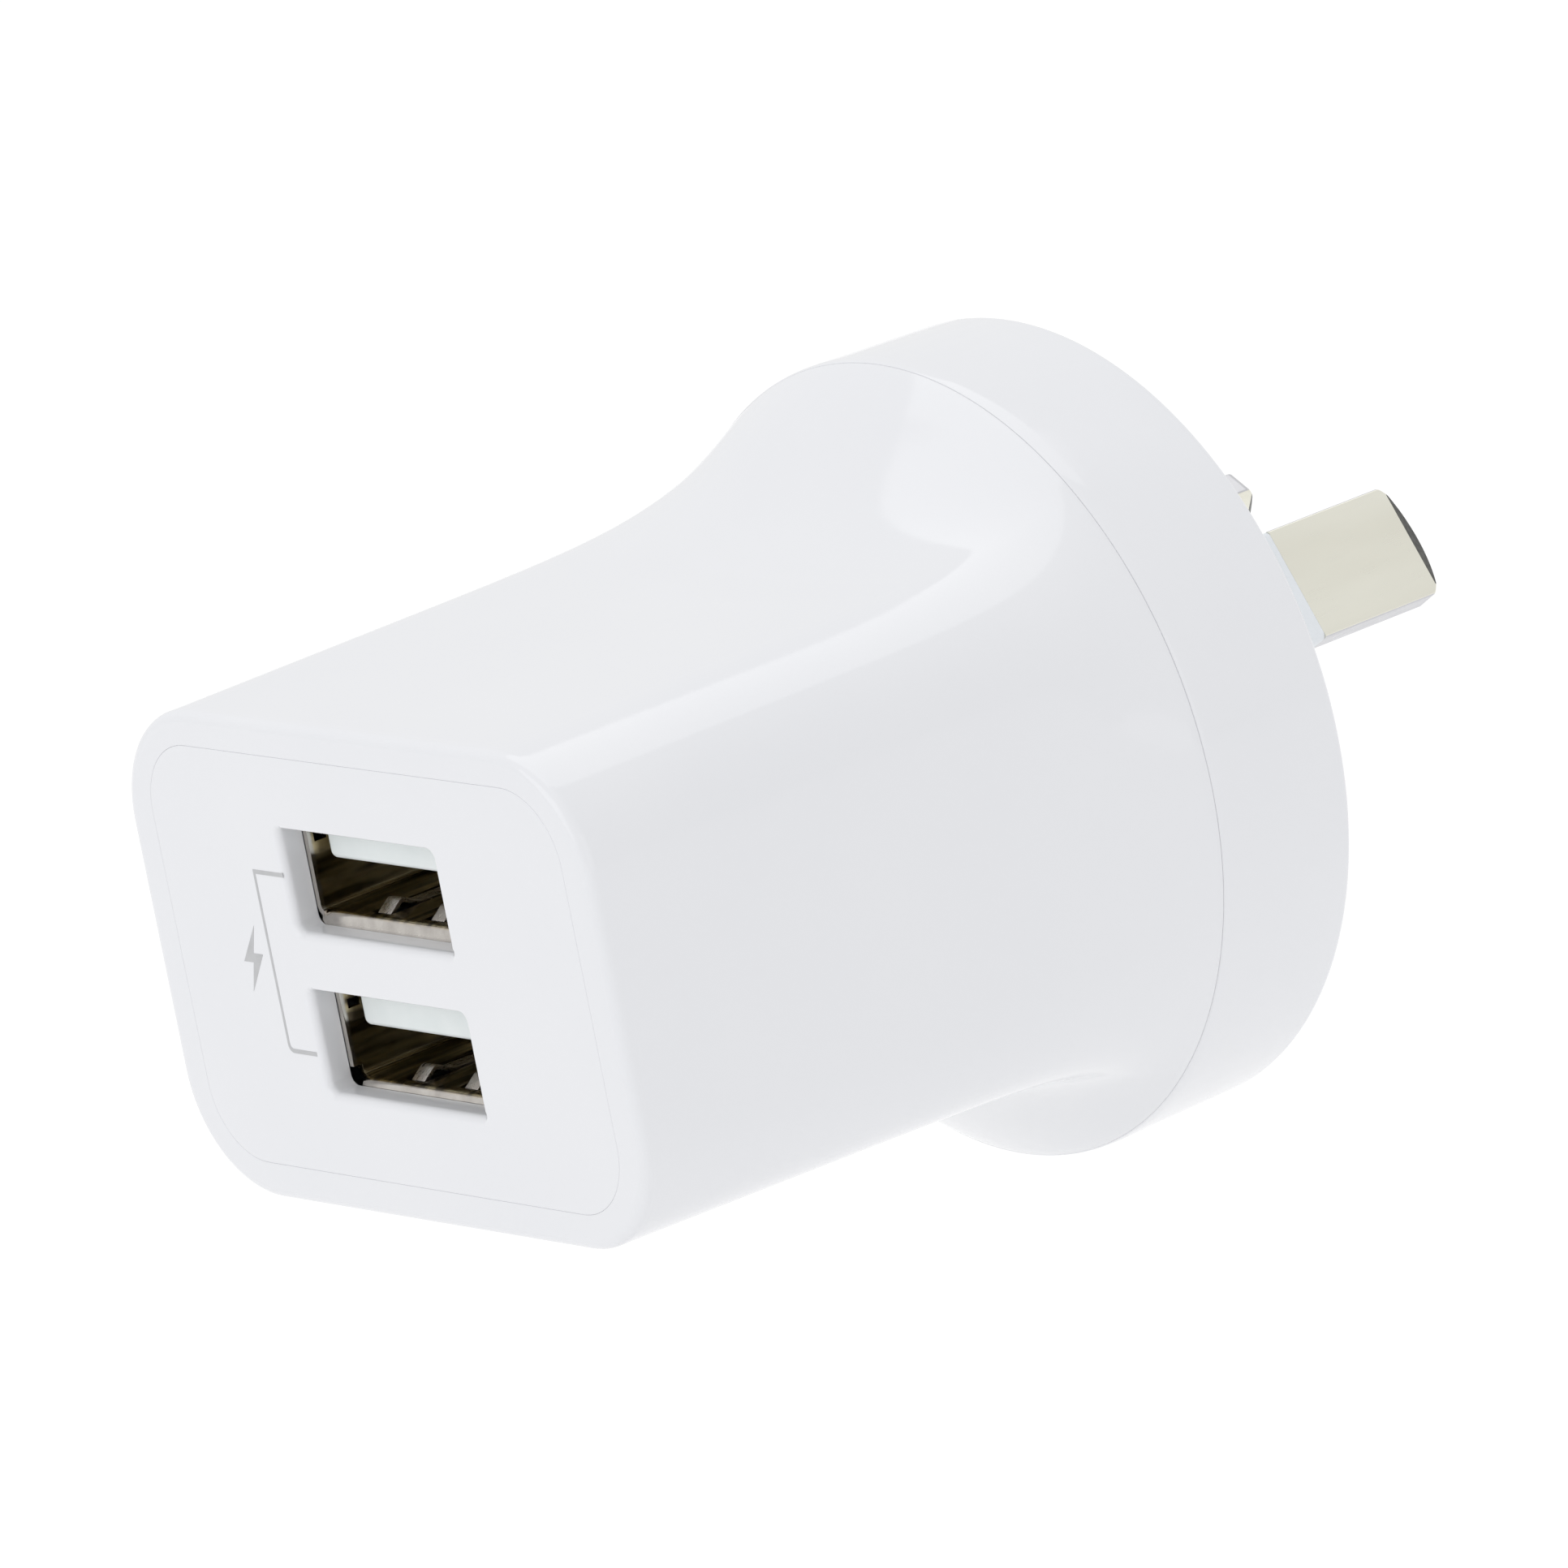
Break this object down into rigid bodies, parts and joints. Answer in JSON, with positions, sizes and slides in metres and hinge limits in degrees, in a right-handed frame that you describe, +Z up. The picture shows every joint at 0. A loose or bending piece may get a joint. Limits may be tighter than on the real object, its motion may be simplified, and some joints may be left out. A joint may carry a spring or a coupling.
{
  "type": "usb wall charger",
  "caption": "Gloss white wall charger: a rounded block with stacked USB-A ports on its face flares to a round flange with two slanted flat pins.",
  "frame": {"origin": "centre of the flat plug face, which is also the centre of the pin pattern", "axes": "+Y out of the plug face along the pins, USB face towards -Y, +Z up as plugged in, +X right as seen from the USB face"},
  "size_m": [0.0428, 0.065, 0.0428],
  "materials": {
    "gloss_white": "polished injection-moulded polycarbonate",
    "blade_metal": "nickel-plated brass, lightly rolled",
    "sleeve_plastic": "satin insulating sleeve",
    "shell_metal": "nickel-plated stamped steel",
    "spring_metal": "stamped spring steel",
    "contact_metal": "gold-flashed phosphor bronze",
    "tongue_plastic": "white glass-filled insulator",
    "board": "solder-masked board",
    "ferrite": "sintered ferrite",
    "bobbin_plastic": "black phenolic",
    "winding_tape": "polyester tape over copper",
    "capacitor_can": "heat-shrunk plastic sleeve over a can",
    "chip_epoxy": "moulded epoxy",
    "resistor_coat": "flameproof coating",
    "disc_ceramic": "blue epoxy-dipped disc",
    "barrier_film": "polyester film"
  },
  "bodies": {
    "case": {"main_housing": "gloss_white", "front_panel": "gloss_white", "rear_cover": "gloss_white", "active_blade": "blade_metal", "neutral_blade": "blade_metal", "active_sleeve": "sleeve_plastic", "neutral_sleeve": "sleeve_plastic", "active_clip": "spring_metal", "neutral_clip": "spring_metal", "upper_port_shell": "shell_metal", "upper_port_tongue": "tongue_plastic", "lower_port_shell": "shell_metal", "lower_port_tongue": "tongue_plastic", "usb_board": "board", "power_board": "board", "transformer_core_left": "ferrite", "transformer_core_right": "ferrite", "line_inductor": "ferrite", "transformer_bobbin": "bobbin_plastic", "board_header": "bobbin_plastic", "transformer_winding": "winding_tape", "output_capacitor_1": "capacitor_can", "output_capacitor_2": "capacitor_can", "input_capacitor_1": "capacitor_can", "input_capacitor_2": "capacitor_can", "bridge_rectifier": "chip_epoxy", "controller_chip": "chip_epoxy", "optocoupler": "chip_epoxy", "output_rectifier": "chip_epoxy", "fusible_resistor": "resistor_coat", "safety_capacitor": "disc_ceramic", "insulation_barrier": "barrier_film"},
    "upper_springs": {"upper_spring_left": "spring_metal", "upper_spring_right": "spring_metal"},
    "lower_springs": {"lower_spring_left": "spring_metal", "lower_spring_right": "spring_metal"},
    "upper_contacts": {"upper_contact_vbus": "contact_metal", "upper_contact_data_minus": "contact_metal", "upper_contact_data_plus": "contact_metal", "upper_contact_ground": "contact_metal"},
    "lower_contacts": {"lower_contact_vbus": "contact_metal", "lower_contact_data_minus": "contact_metal", "lower_contact_data_plus": "contact_metal", "lower_contact_ground": "contact_metal"}
  },
  "joints": [
    {"name": "upper_spring_flex", "type": "hinge", "parent": "case", "child": "upper_springs", "pos_m": [0, -0.03626, 0.00262], "axis": [1, 0, 0], "range_deg": [0, 4.5], "stiffness_Nm_per_rad": 0.2},
    {"name": "upper_contact_flex", "type": "hinge", "parent": "case", "child": "upper_contacts", "pos_m": [0, -0.03426, 0.00575], "axis": [-1, 0, 0], "range_deg": [0, 2.5], "stiffness_Nm_per_rad": 0.3},
    {"name": "lower_spring_flex", "type": "hinge", "parent": "case", "child": "lower_springs", "pos_m": [0, -0.03626, -0.00626], "axis": [1, 0, 0], "range_deg": [0, 4.5], "stiffness_Nm_per_rad": 0.2},
    {"name": "lower_contact_flex", "type": "hinge", "parent": "case", "child": "lower_contacts", "pos_m": [0, -0.03426, -0.00313], "axis": [-1, 0, 0], "range_deg": [0, 2.5], "stiffness_Nm_per_rad": 0.3}
  ]
}
